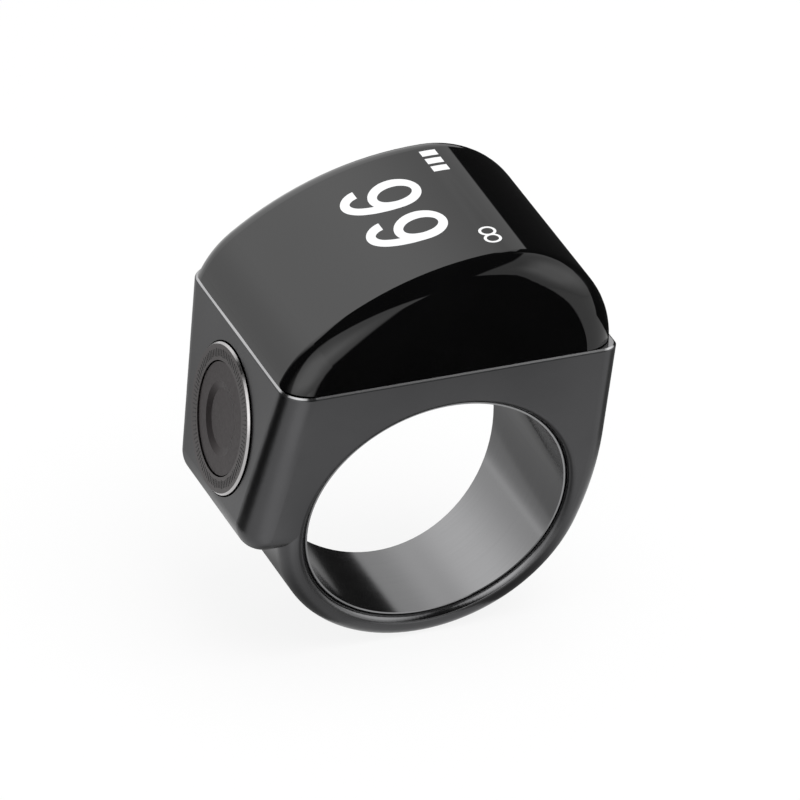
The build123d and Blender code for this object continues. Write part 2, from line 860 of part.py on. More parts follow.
tail_plane = button_face.offset(-housing_back - flex_thickness / 2)
tail_start = tail_plane.from_local_coords((0, -switch_flex_start, 0))
switch_flex_rise = plug_height - button_height - switch_flex_dip
tail_top = tail_plane.from_local_coords((0, -switch_flex_rise, 0))
plug_left = switch_connector_x - switch_connector_length / 2
with BuildPart() as switch_flex:
    with BuildSketch(button_face.offset(-housing_back)):
        Rectangle(switch_flex_side, switch_flex_side)
    extrude(amount=-flex_thickness)
    with BuildSketch(Plane.XZ):
        with BuildLine():
            FilletPolyline(
                (tail_start.X, tail_start.Z),
                (tail_top.X, tail_top.Z),
                (plug_left - switch_flex_gap, plug_height),
                (plug_left, plug_height),
                radius=flex_bend,
            )
        trace(line_width=flex_thickness)
    extrude(amount=switch_flex_width / 2, both=True)
switch_flex.part.label = "switch_flex"
export_step(switch_flex.part, "parts/switch_flex.step")

with BuildPart() as switch_stiffener:
    with BuildSketch(button_face.offset(-housing_back - flex_thickness)):
        Rectangle(stiffener_width, stiffener_height)
    extrude(amount=-stiffener_thickness)
switch_stiffener.part.label = "switch_stiffener"
export_step(switch_stiffener.part, "parts/switch_stiffener.step")

# Coin vibration motor between the finger hole and the right-hand wall
motor_face = Plane(origin=(motor_inner_face, 0, motor_height), x_dir=(0, 1, 0), z_dir=(1, 0, 0))
with BuildPart() as motor_base:
    with BuildSketch(motor_face):
        Circle(motor_radius)
    extrude(amount=motor_sheet)
motor_base.part.label = "motor_base"
export_step(motor_base.part, "parts/motor_base.step")

with BuildPart() as motor_case:
    with BuildSketch(motor_face.offset(motor_sheet)):
        Circle(motor_radius)
    extrude(amount=motor_length - motor_sheet)
    with BuildSketch(motor_face.offset(motor_sheet)):
        Circle(motor_radius - motor_sheet)
    extrude(amount=motor_room, mode=Mode.SUBTRACT)
motor_case.part.label = "motor_case"
export_step(motor_case.part, "parts/motor_case.step")

with BuildPart() as motor_shaft:
    with BuildSketch(motor_face.offset(motor_sheet)):
        Circle(motor_shaft_radius)
    extrude(amount=motor_room)
motor_shaft.part.label = "motor_shaft"
export_step(motor_shaft.part, "parts/motor_shaft.step")

with BuildPart() as motor_rotor:
    with BuildSketch(motor_face.offset(motor_sheet + rotor_gap)):
        Circle(rotor_radius)
        with Locations((0, rotor_radius)):
            Rectangle(2 * rotor_radius, 2 * rotor_radius, mode=Mode.SUBTRACT)
        Circle(rotor_hub_radius)
        Circle(motor_shaft_radius + rotor_bore_fit, mode=Mode.SUBTRACT)
    extrude(amount=rotor_thickness)
motor_rotor.part.label = "motor_rotor"
export_step(motor_rotor.part, "parts/motor_rotor.step")

with BuildPart() as motor_pad:
    with BuildSketch(motor_face.offset(motor_length)):
        Circle(motor_pad_radius)
    extrude(amount=motor_pad_thickness)
motor_pad.part.label = "motor_pad"
export_step(motor_pad.part, "parts/motor_pad.step")
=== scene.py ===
"""Looks of the counter ring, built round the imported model. Metres, in the same frame."""

import json
from math import acos, atan, cos, hypot, pi, radians, sin

import bmesh
import bpy
from mathutils import Matrix, Vector
from mathutils.bvhtree import BVHTree


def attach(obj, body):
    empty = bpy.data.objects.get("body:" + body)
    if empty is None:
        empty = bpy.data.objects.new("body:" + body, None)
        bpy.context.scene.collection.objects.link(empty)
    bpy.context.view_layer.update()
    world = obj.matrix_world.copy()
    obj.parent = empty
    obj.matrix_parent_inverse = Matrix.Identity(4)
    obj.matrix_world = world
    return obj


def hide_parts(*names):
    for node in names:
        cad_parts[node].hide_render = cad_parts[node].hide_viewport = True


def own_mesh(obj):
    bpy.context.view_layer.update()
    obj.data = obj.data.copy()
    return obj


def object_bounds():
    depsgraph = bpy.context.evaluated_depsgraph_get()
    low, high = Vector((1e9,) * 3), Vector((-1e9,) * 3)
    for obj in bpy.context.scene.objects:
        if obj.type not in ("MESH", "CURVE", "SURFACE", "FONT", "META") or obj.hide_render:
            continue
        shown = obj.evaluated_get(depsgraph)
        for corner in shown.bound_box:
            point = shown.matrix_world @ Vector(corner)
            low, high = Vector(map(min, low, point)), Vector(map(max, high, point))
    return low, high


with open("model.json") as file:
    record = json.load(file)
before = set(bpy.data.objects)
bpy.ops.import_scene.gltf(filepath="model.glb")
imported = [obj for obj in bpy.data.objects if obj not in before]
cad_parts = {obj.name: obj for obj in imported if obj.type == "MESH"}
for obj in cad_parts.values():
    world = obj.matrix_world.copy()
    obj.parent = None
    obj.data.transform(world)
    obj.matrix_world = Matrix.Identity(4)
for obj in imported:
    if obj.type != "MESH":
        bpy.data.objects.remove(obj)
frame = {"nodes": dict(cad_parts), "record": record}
cad_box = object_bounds()
nodes = frame["nodes"]
MM = 0.001

# The press button's facet: its lean, the middle of the button and its directions
FACET_ANGLE = atan(0.157)
BUTTON_MIDDLE = Vector((-14.1555, 0.0, 6.42)) * MM
BUTTON_OUT = Vector((-cos(FACET_ANGLE), 0.0, sin(FACET_ANGLE)))
BUTTON_UP = Vector((sin(FACET_ANGLE), 0.0, cos(FACET_ANGLE)))
BEZEL_PROUD = 0.25 * MM
BEZEL_EDGE_RADIUS = 5.3 * MM  # the bezel's bevel and outer wall lie outside this
RING_PITCH = 0.045 * MM  # between the turned lines of the bezel and the cap

# The shell and the lens
SEAM_HEIGHT = 13.27 * MM  # where the lens meets the shell
SEAM_HIGHLIGHT_HEIGHT = 0.12 * MM  # height of the painted highlight on the edge under the seam
BORE_RADIUS = 10.27 * MM  # the shell's bore, behind the liner
BEAD_HIGHLIGHT_FADE = (0.45 * MM, 0.6 * MM)  # how far from the bore the bead's painted highlight and smoother finish fade, and are gone
BEAD_HIGHLIGHT_HEIGHTS = (-8.5 * MM, -3.0 * MM)  # painted highlight and smoother finish below the first, none over the second
RIDGE = 4.65 * MM  # x of the lens's ridge
RIDGE_REACH = 0.01 * MM
SAME_SURFACE = 0.99  # least dot product of two normals that belong to one smooth surface
ABOVE_LENS = 0.1

# Lit signs and ticks, in millimetres
MARK_PROUD = 0.008
MARK_SUNK = 0.04
MARK_WELD = 0.0005
TICKS = 96
TICK_RADIUS = 4.86
TICK_LENGTHS = (0.66, 0.52)  # every fourth tick, and the others
TICK_WIDTH = 0.085
TICK_HEIGHT = 0.05
TICK_SINK = 0.01

# The studio
AMBIENT = 0.55
CARD_BLACK = 0.02
FLOOR_REACH = 4.0
FLOOR_GLOW = 0.88
TENT_RADIUS = 2.0
TENT_BOTTOM = -0.2
GROUND_CARD_RADII = (0.008, 2.1)
GROUND_CARD_LIFT = 0.0002
GROUND_CARD_STEPS = 96


def add_object(name, data):
    """New object in the scene."""
    made = bpy.data.objects.new(name, data)
    bpy.context.scene.collection.objects.link(made)
    return made


def mesh_from(name, shape):
    """Mesh of a finished bmesh."""
    mesh = bpy.data.meshes.new(name)
    shape.to_mesh(mesh)
    shape.free()
    return mesh


class Shader:
    """A small helper that adds nodes to one material."""

    def __init__(self, name):
        self.material = bpy.data.materials.new(name)
        self.material.use_nodes = True
        self.tree = self.material.node_tree
        self.surface = self.tree.nodes["Principled BSDF"]

    def add(self, kind, **settings):
        node = self.tree.nodes.new(kind)
        for key, value in settings.items():
            setattr(node, key, value)
        return node

    def link(self, output, target):
        self.tree.links.new(output, target)

    def set(self, **values):
        for key, value in values.items():
            socket = self.surface.inputs[key.replace("_", " ")]
            socket.default_value = (*value, 1.0) if isinstance(value, tuple) else value

    def place(self):
        return self.add("ShaderNodeTexCoord").outputs["Object"]

    def normal(self):
        return self.add("ShaderNodeNewGeometry").outputs["Normal"]

    def noise(self, scale, detail=3.0, stretch=None):
        texture = self.add("ShaderNodeTexNoise")
        texture.inputs["Scale"].default_value = scale
        texture.inputs["Detail"].default_value = detail
        where = self.place()
        if stretch:
            mapping = self.add("ShaderNodeMapping")
            mapping.inputs["Scale"].default_value = stretch
            self.link(where, mapping.inputs["Vector"])
            where = mapping.outputs["Vector"]
        self.link(where, texture.inputs["Vector"])
        return texture.outputs["Fac"]

    def spread(self, value, low, high, start=0.3, end=0.7):
        """Value stretched from start and end to low and high."""
        ranged = self.add("ShaderNodeMapRange")
        ranged.inputs["From Min"].default_value = start
        ranged.inputs["From Max"].default_value = end
        ranged.inputs["To Min"].default_value = low
        ranged.inputs["To Max"].default_value = high
        self.link(value, ranged.inputs["Value"])
        return ranged.outputs["Result"]

    def mix(self, factor, first, second):
        mixed = self.add("ShaderNodeMix", data_type="RGBA")
        self.link(factor, mixed.inputs["Factor"])
        for socket, colour in ((mixed.inputs["A"], first), (mixed.inputs["B"], second)):
            if isinstance(colour, tuple):
                socket.default_value = (*colour, 1.0)
            else:
                self.link(colour, socket)
        return mixed.outputs["Result"]

    def math(self, operation, first, second=None):
        node = self.add("ShaderNodeMath", operation=operation)
        for socket, value in zip(node.inputs, (first, second)):
            if isinstance(value, (int, float)):
                socket.default_value = value
            elif value is not None:
                self.link(value, socket)
        return node.outputs["Value"]

    def lean(self, first, second, share):
        """First value plus a share of the second."""
        return self.math("ADD", first, self.math("MULTIPLY", second, share))

    def vector(self, operation, first, second=None, output="Vector"):
        node = self.add("ShaderNodeVectorMath", operation=operation)
        for socket, value in zip(node.inputs, (first, second)):
            if isinstance(value, (tuple, Vector)):
                socket.default_value = tuple(value)
            elif value is not None:
                self.link(value, socket)
        return node.outputs[output]

    def parts(self, vector):
        """The x, y and z of a vector."""
        node = self.add("ShaderNodeSeparateXYZ")
        self.link(vector, node.inputs["Vector"])
        return tuple(node.outputs[axis] for axis in "XYZ")

    def length(self, first, second):
        """Length of a flat vector, from its two parts."""
        squares = [self.math("MULTIPLY", part, part) for part in (first, second)]
        return self.math("SQRT", self.math("ADD", *squares))

    def button_radius(self):
        """Distance from the button's axis."""
        offset = self.vector("SUBTRACT", self.place(), BUTTON_MIDDLE)
        crossed = self.vector("CROSS_PRODUCT", offset, BUTTON_OUT)
        return self.vector("LENGTH", crossed, output="Value")

    def bump(self, height, strength, distance):
        node = self.add("ShaderNodeBump")
        node.inputs["Strength"].default_value = strength
        node.inputs["Distance"].default_value = distance
        self.link(height, node.inputs["Height"])
        self.link(node.outputs["Normal"], self.surface.inputs["Normal"])

    def colour(self, output):
        self.link(output, self.surface.inputs["Base Color"])

    def rough(self, output):
        self.link(output, self.surface.inputs["Roughness"])


def shell_metal():
    """Fine blasted dark metal, smoother on the bead round the hole and on the edge at the seam,
    where a brighter colour is a painted highlight: on the bead only low down, on the seam edge only
    where it faces up.
    """
    s = Shader("shell_metal")
    s.set(Metallic=1.0)
    grain = s.noise(5200, 2.0)
    cloud = s.noise(160, 3.0)
    base = s.mix(s.spread(cloud, 0.0, 1.0), (0.066, 0.066, 0.068), (0.074, 0.074, 0.076))
    x, _, z = s.parts(s.place())
    _, _, facing_up = s.parts(s.normal())
    # Painted highlight: a brighter colour on the up-facing edge just under the seam
    near_seam = s.math("GREATER_THAN", z, SEAM_HEIGHT - SEAM_HIGHLIGHT_HEIGHT)
    edge = s.math("MULTIPLY", s.math("GREATER_THAN", facing_up, 0.3), near_seam)
    # Painted highlight: a brighter colour on the bead round the hole, only on its lower part
    fade_start, fade_end = (BORE_RADIUS + fade for fade in BEAD_HIGHLIGHT_FADE)
    bead_polish_and_highlight = s.math(
        "MULTIPLY",
        s.spread(s.length(x, z), 1.0, 0.0, fade_start, fade_end),
        s.spread(z, 1.0, 0.0, *BEAD_HIGHLIGHT_HEIGHTS),
    )
    # Colours of the painted highlights on the bead and on the seam edge
    base = s.mix(bead_polish_and_highlight, base, (0.17, 0.17, 0.173))
    s.colour(s.mix(edge, base, (0.40, 0.40, 0.405)))
    polish = s.math("ADD", s.math("MULTIPLY", edge, -0.12), s.math("MULTIPLY", bead_polish_and_highlight, -0.10))
    s.rough(s.math("ADD", s.spread(grain, 0.28, 0.31), polish))
    s.bump(grain, 0.03, 0.000003)
    return s.material


def liner_steel():
    """Polished sleeve with turned lines round the hole."""
    s = Shader("liner_steel")
    s.set(Metallic=1.0)
    lines = s.noise(1.0, 2.0, stretch=(60.0, 9000.0, 60.0))
    s.colour(s.mix(s.spread(lines, 0.0, 1.0), (0.245, 0.245, 0.249), (0.262, 0.262, 0.266)))
    s.rough(s.spread(lines, 0.13, 0.16))
    s.bump(lines, 0.02, 0.000003)
    return s.material


def lens_black():
    """Dark moulded lens, polished, with the faint unevenness of a handled surface."""
    s = Shader("lens_black")
    s.set(IOR=1.5)
    smear = s.noise(220, 4.0)
    tone = s.spread(smear, 0.0, 1.0)
    s.colour(s.mix(tone, (0.0012, 0.0012, 0.0013), (0.0020, 0.0020, 0.0021)))
    s.rough(s.spread(smear, 0.018, 0.045))
    return s.material


def turned_metal(name, dark, light, roughness, edge=None):
    """Metal turned about the button's axis, with an optional painted highlight on the bevel and
    painted shade on the outer wall.
    """
    s = Shader(name)
    s.set(Metallic=1.0)
    radius = s.button_radius()
    rings = s.math("SINE", s.math("MULTIPLY", radius, 2 * pi / RING_PITCH))
    grain = s.noise(3800, 2.0)
    mixed = s.math("ADD", s.math("MULTIPLY", rings, 0.25), grain)
    base = s.mix(s.spread(mixed, 0.0, 1.0, 0.1, 0.9), dark, light)
    gloss = s.spread(grain, roughness - 0.04, roughness + 0.05)
    if edge:
        # Painted shade: the outer wall is coloured near black for the shadow in the gap round the
        # bezel
        facing = s.vector("DOT_PRODUCT", s.normal(), BUTTON_OUT, "Value")
        outer = s.math("GREATER_THAN", radius, BEZEL_EDGE_RADIUS)
        wall = s.math("MULTIPLY", s.math("LESS_THAN", facing, 0.35), outer)
        # Painted highlight: the bevel gets the brighter edge colour
        slope = s.math("MULTIPLY", s.math("LESS_THAN", facing, 0.9), outer)
        bevel_highlight = s.math("SUBTRACT", slope, wall)
        base = s.mix(wall, s.mix(bevel_highlight, base, edge), (0.012, 0.011, 0.011))
        gloss = s.math("SUBTRACT", gloss, s.math("MULTIPLY", bevel_highlight, 0.14))
    s.rough(gloss)
    s.colour(base)
    s.bump(mixed, 0.08, 0.000008)
    return s.material


def plain_finish(name, dark, light, roughness, metallic=0.0, scale=900.0, depth=0.00001):
    """Finish for a moulded, plated or printed piece: small shifts of tone, gloss and height."""
    s = Shader(name)
    s.set(Metallic=metallic)
    grain = s.noise(scale, 3.0)
    s.colour(s.mix(s.spread(grain, 0.0, 1.0), dark, light))
    s.rough(s.spread(grain, max(roughness - 0.08, 0.03), roughness + 0.08))
    s.bump(grain, 0.15, depth)
    return s.material


def board_green():
    """Solder mask with the faint pattern of copper under it."""
    s = Shader("board_green")
    s.set(Coat_Weight=0.4, Coat_Roughness=0.2)
    tracks = s.add("ShaderNodeTexBrick")
    tracks.inputs["Scale"].default_value = 900.0
    tracks.inputs["Mortar Size"].default_value = 0.03
    s.link(s.place(), tracks.inputs["Vector"])
    s.colour(s.mix(tracks.outputs["Fac"], (0.006, 0.055, 0.022), (0.018, 0.11, 0.045)))
    s.rough(s.spread(s.noise(1500, 2.0), 0.35, 0.5))
    s.bump(tracks.outputs["Fac"], 0.2, 0.00001)
    return s.material


def lit_mark():
    """Lit part of the display."""
    s = Shader("lit_mark")
    s.set(Base_Color=(0.02, 0.02, 0.02), Roughness=0.3, Emission_Strength=0.97)
    shift = s.spread(s.noise(400, 2.0), 0.0, 1.0)
    s.link(s.mix(shift, (0.98, 0.99, 1.0), (1.0, 1.0, 1.0)), s.surface.inputs["Emission Color"])
    return s.material


# Dark tone, light tone and roughness, then metallic, scale and depth of the grain where they
# aren't plain_finish's own
PLAIN_FINISHES = {
    "seal_rubber": ((0.010, 0.010, 0.010), (0.018, 0.018, 0.018), 0.7),
    "screw_steel": ((0.40, 0.40, 0.41), (0.50, 0.50, 0.51), 0.3, 1.0, 2500.0),
    "chip_black": ((0.014, 0.014, 0.015), (0.026, 0.026, 0.027), 0.55, 0.0, 4000.0),
    "crystal_can": ((0.55, 0.55, 0.53), (0.65, 0.65, 0.63), 0.25, 1.0, 2500.0),
    "passive_ceramic": ((0.36, 0.27, 0.18), (0.48, 0.37, 0.26), 0.6, 0.0, 3000.0),
    "connector_plastic": ((0.64, 0.61, 0.52), (0.76, 0.73, 0.64), 0.5),
    "pad_foam": ((0.07, 0.07, 0.07), (0.13, 0.13, 0.13), 0.85, 0.0, 5000.0, 0.00003),
    "battery_foil": ((0.55, 0.56, 0.58), (0.68, 0.69, 0.71), 0.32, 1.0, 700.0, 0.00003),
    "tab_nickel": ((0.56, 0.54, 0.49), (0.68, 0.66, 0.61), 0.3, 1.0, 2500.0),
    "panel_glass": ((0.010, 0.011, 0.014), (0.018, 0.019, 0.024), 0.12, 0.0, 300.0, 0.000002),
    "bracket_plastic": ((0.022, 0.022, 0.024), (0.038, 0.038, 0.040), 0.5),
    "flex_amber": ((0.34, 0.12, 0.014), (0.48, 0.19, 0.026), 0.35, 0.0, 1600.0),
    "contact_gold": ((0.74, 0.49, 0.16), (0.86, 0.61, 0.24), 0.22, 1.0, 2500.0),
    "switch_steel": ((0.52, 0.52, 0.52), (0.64, 0.64, 0.64), 0.3, 1.0, 2500.0),
    "switch_plastic": ((0.030, 0.030, 0.030), (0.050, 0.050, 0.050), 0.5),
    "rotor_weight": ((0.30, 0.28, 0.25), (0.40, 0.38, 0.35), 0.4, 1.0, 2500.0),
    "tick_paint": ((0.014, 0.013, 0.013), (0.026, 0.024, 0.024), 0.45, 0.0, 3000.0),
}
# Dark tone, light tone and roughness, then for the bezel the colour of the painted highlight on its
# bevel
TURNED_FINISHES = {
    "bezel_metal": ((0.075, 0.068, 0.068), (0.099, 0.090, 0.090), 0.34, (0.44, 0.43, 0.43)),
    "cap_metal": ((0.056, 0.049, 0.050), (0.068, 0.059, 0.060), 0.40),
}
finishes = {name: plain_finish(name, *look) for name, look in PLAIN_FINISHES.items()}
finishes |= {name: turned_metal(name, *look) for name, look in TURNED_FINISHES.items()}
for make in (shell_metal, liner_steel, lens_black, board_green, lit_mark):
    finishes[make.__name__] = make()
for part in frame["record"]["subparts"]:
    node = nodes[part["node"]]
    node.data.materials.clear()
    node.data.materials.append(finishes[part["material_slot"]])

lens_mesh = nodes["crown_lens"].data
lens_tree = BVHTree.FromPolygons(
    [v.co.copy() for v in lens_mesh.vertices],
    [tuple(p.vertices) for p in lens_mesh.polygons],
)


def on_lens(across, up, lift):
    """Point over the top of the lens.

    Across runs to the reader's right and up to the top of the digits.
    """
    start = Vector((up * MM, -across * MM, ABOVE_LENS))
    point, normal, _, _ = lens_tree.ray_cast(start, Vector((0, 0, -1)))
    return point + normal * (lift * MM)


def lens_mark(name, outlines):
    """Thin lit piece on the lens, filled between its outlines (given in millimetres)."""
    curve = bpy.data.curves.new(name, "CURVE")
    curve.dimensions = "2D"
    curve.fill_mode = "BOTH"
    curve.extrude = 1.0
    for outline in outlines:
        spline = curve.splines.new("POLY")
        spline.points.add(len(outline) - 1)
        for point, (across, up) in zip(spline.points, outline):
            point.co = (across, up, 0.0, 1.0)
        spline.use_cyclic_u = True
    holder = bpy.data.objects.new(name + "_flat", curve)
    mesh = bpy.data.meshes.new_from_object(holder)
    bpy.data.objects.remove(holder)
    bpy.data.curves.remove(curve)
    shape = bmesh.new()
    shape.from_mesh(mesh)
    bmesh.ops.remove_doubles(shape, verts=shape.verts, dist=MARK_WELD)
    for vert in shape.verts:
        vert.co = on_lens(vert.co.x, vert.co.y, MARK_PROUD if vert.co.z > 0 else -MARK_SUNK)
    bmesh.ops.recalc_face_normals(shape, faces=shape.faces)
    shape.to_mesh(mesh)
    shape.free()
    mesh.materials.clear()
    mesh.materials.append(finishes["lit_mark"])
    piece = add_object(name, mesh)
    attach(piece, "ring")


def ellipse(middle, reach, start, end, count):
    """Points on an ellipse, from one angle to another in degrees."""
    steps = [radians(start + (end - start) * i / count) for i in range(count + 1)]
    return [(middle[0] + reach[0] * cos(a), middle[1] + reach[1] * sin(a)) for a in steps]


def moved(outlines, middle):
    """Outlines round a new middle."""
    return [[(middle[0] + x, middle[1] + y) for x, y in points] for points in outlines]


def digit_nine(middle):
    """Outlines of a nine: a round bowl with a tail that swings under it."""
    wide, thin = 0.5, 0.33  # half of the stroke, across and up
    bowl = (1.51, 1.64)
    tail_middle, tail = (-0.64, 0.0), (2.15, 3.56)
    hook_middle, hook = (-0.64, -2.48), (1.04, 1.08)
    bowl_steps, hole_steps, tail_steps, hook_steps = 110, 96, 48, 24
    bowl_meets_tail = 70  # the bowl runs into the tail somewhere after this step

    def outside(reach):
        return reach[0] + wide, reach[1] + thin

    def inside(reach):
        return reach[0] - wide, reach[1] - thin

    outer_bowl = ellipse((0, 0), outside(bowl), 0, 330, bowl_steps)
    inner_bowl = ellipse((0, 0), inside(bowl), 0, 360, hole_steps)[:-1]
    outer_tail = ellipse(hook_middle, outside(hook), 180, 270, hook_steps)
    outer_tail += ellipse(tail_middle, outside(tail), 270, 360, tail_steps)[1:-1]
    inner_tail = ellipse(tail_middle, inside(tail), 360, 270, tail_steps)
    inner_tail += ellipse(hook_middle, inside(hook), 270, 180, hook_steps)[1:]
    gaps = [
        (hypot(a[0] - b[0], a[1] - b[1]), i, j)
        for i, a in enumerate(outer_bowl)
        if i > bowl_meets_tail
        for j, b in enumerate(inner_tail)
        if j <= tail_steps
    ]
    _, bowl_cut, tail_cut = min(gaps)
    outline = outer_tail + outer_bowl[:bowl_cut] + inner_tail[tail_cut:]
    return moved((outline, inner_bowl), middle)


def loop_sign(middle, ring, wall, spacing):
    """Two joined rings."""
    turn = acos(spacing / 2 / ring) * 180 / pi
    left = ellipse((-spacing / 2, 0), (ring, ring), turn, 360 - turn, 48)
    right = ellipse((spacing / 2, 0), (ring, ring), turn - 180, 180 - turn, 48)
    hole = (ring - wall, ring - wall)
    holes = [ellipse((side * spacing / 2, 0), hole, 0, 360, 40)[:-1] for side in (-1, 1)]
    return moved((left + right[1:-1], *holes), middle)


def bar(middle, width, height, count=8):
    """Upright bar."""
    low, high = middle[1] - height / 2, middle[1] + height / 2
    left, right = middle[0] - width / 2, middle[0] + width / 2
    rise = [low + (high - low) * i / count for i in range(count + 1)]
    return [[(right, y) for y in rise] + [(left, y) for y in reversed(rise)]]


def bezel_ticks():
    """Plain radial ticks round the face of the bezel, sunk into it."""
    shape = bmesh.new()
    for number in range(TICKS):
        turn = 2 * pi * number / TICKS
        out = Vector((0, 1, 0)) * cos(turn) + BUTTON_UP * sin(turn)
        side = BUTTON_OUT.cross(out)
        length = TICK_LENGTHS[1] if number % 4 else TICK_LENGTHS[0]
        made = bmesh.ops.create_cube(shape, size=1.0)["verts"]
        sunk = BUTTON_OUT * (BEZEL_PROUD - TICK_SINK * MM)
        middle = BUTTON_MIDDLE + out * (TICK_RADIUS * MM) + sunk
        for vert in made:
            vert.co = (
                middle
                + out * (vert.co.x * length * MM)
                + side * (vert.co.y * TICK_WIDTH * MM)
                + BUTTON_OUT * (vert.co.z * TICK_HEIGHT * MM)
            )
    bmesh.ops.recalc_face_normals(shape, faces=shape.faces)
    mesh = mesh_from("bezel_ticks", shape)
    mesh.materials.append(finishes["tick_paint"])
    piece = add_object("bezel_ticks", mesh)
    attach(piece, "ring")


def snap_dome():
    """Copy of the switch's dome on a mesh of its own, in place of the imported one. The real dome
    flattens on its floor as the plunger comes down.
    """
    mesh = nodes["switch_dome"].data.copy()
    piece = add_object("snap_dome", mesh)
    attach(piece, "ring")
    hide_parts("switch_dome")
    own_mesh(piece)


def crown_gloss():
    """The lens again, shaded without a break along its ridge, where two of its faces join."""
    mesh = nodes["crown_lens"].data.copy()
    normals = [corner.vector.copy() for corner in mesh.corner_normals]
    ridge = {}
    for loop in mesh.loops:
        place = mesh.vertices[loop.vertex_index].co
        if abs(place.x - RIDGE) < RIDGE_REACH:
            ridge.setdefault(tuple(round(value, 6) for value in place), []).append(loop.index)
    for corners in ridge.values():
        before = [normals[index].copy() for index in corners]
        for index, own in zip(corners, before):
            joined = [other for other in before if other.dot(own) > SAME_SURFACE]
            distinct = {tuple(round(value, 3) for value in other) for other in joined}
            normals[index] = sum((Vector(other) for other in distinct), Vector()).normalized()
    mesh.normals_split_custom_set(normals)
    piece = add_object("crown_gloss", mesh)
    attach(piece, "ring")
    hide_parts("crown_lens")


class Stage(Shader):
    """Nodes for the backdrop, the floor and the black cards, which share the same sums."""

    def __init__(self, material):
        self.material = material
        self.tree = material.node_tree

    def both(self, *values):
        result = values[0]
        for value in values[1:]:
            result = self.math("MULTIPLY", result, value)
        return result

    def either(self, *values):
        result = values[0]
        for value in values[1:]:
            result = self.math("MAXIMUM", result, value)
        return result

    def step(self, value, start, end):
        """Smooth step up from start to end, or down where start is the larger."""
        node = self.add("ShaderNodeMapRange", interpolation_type="SMOOTHSTEP")
        node.inputs["From Min"].default_value = min(start, end)
        node.inputs["From Max"].default_value = max(start, end)
        if start > end:
            node.inputs["To Min"].default_value, node.inputs["To Max"].default_value = 1.0, 0.0
        self.link(value, node.inputs["Value"])
        return node.outputs["Result"]

    def seen(self):
        """One for what the camera, a reflection or a clear piece sees."""
        path = self.add("ShaderNodeLightPath")
        names = ("Is Camera Ray", "Is Glossy Ray", "Is Transmission Ray")
        return self.either(*(path.outputs[name] for name in names))

    def measures(self):
        """Where a point of a card lies from the ring's middle, straight and on the slant."""
        x, y, z = self.parts(self.place())
        reach = self.length(x, y)
        turn = self.math("DEGREES", self.math("ARCTAN2", x, y))
        rise = self.math("DEGREES", self.math("ARCTAN2", z, reach))
        across, along = self.math("DIVIDE", x, z), self.math("DIVIDE", y, z)
        past_left = self.lean(turn, self.math("GREATER_THAN", turn, 0.0), -360.0)
        return {
            "turn": turn,
            "rise": rise,
            "reach": reach,
            "y": y,
            "along": along,
            "front_lean": self.lean(turn, rise, -0.1),
            "top_lean": self.lean(rise, past_left, 0.55),
            "right_lean": self.lean(turn, rise, 1.2),
            "left_lean": self.lean(turn, rise, -0.7),
            "left_slant": self.lean(across, along, 0.714),
            "right_slant": self.lean(across, along, -0.465),
            "floor_slant": self.lean(y, x, 0.83),
        }

    def panels(self, measures, rows):
        """Strength of some panels. Where they lie over each other, the strongest counts."""
        made = []
        for strength, *edges in rows:
            steps = [self.step(measures[name], start, end) for name, start, end in edges]
            made.append(self.both(*steps, strength))
        return self.either(*made)


# The black cards and the lit panels that reflections see. A row has the strength of a panel, then
# its soft edges: a measure of Stage.measures, where the edge starts and where the panel is full.
# Turns are degrees round the ring from the back, to the right as seen from the front. Rises are
# degrees over the ring's middle. Reaches and y are metres on the floor.
TENT_BLACK = (
    (1.0, ("front_lean", 148.5, 150.5), ("top_lean", -36.2, -39.2)),  # front, right part
    (1.0, ("turn", -161, -167), ("top_lean", -36.2, -39.2)),  # front, left part
    (0.3, ("turn", 4, 31)),  # dim from the backdrop's right half on
    (1.0, ("turn", 30.6, 31.4), ("right_lean", 94, 88)),  # right of the backdrop
    (1.0, ("left_lean", -109, -101), ("turn", -34, -46)),  # left of the backdrop
    (1.0, ("turn", -80, -60), ("turn", 42, 32), ("rise", 37, 39)),  # over the backdrop
    (
        1.0,  # wedge overhead
        ("left_slant", -0.54, -0.48),
        ("right_slant", 0.39, 0.31),
        ("along", 0.85, 0.75),
        ("rise", 20, 22),
    ),
)
TENT_LIT = (
    (1.1, ("turn", -166, -132), ("turn", -72, -120), ("rise", -2, 16), ("rise", 63, 38)),  # left
    (0.9, ("turn", 62, 108), ("turn", 150, 126), ("rise", -3, 22), ("rise", 66, 40)),  # right
    (0.42, ("turn", -46, -22), ("turn", 24, -6), ("rise", 2, 26), ("rise", 39, 37)),  # backdrop
)
BEHIND = (("turn", -52, -36), ("turn", 33, 29), ("y", 0.004, 0.008))
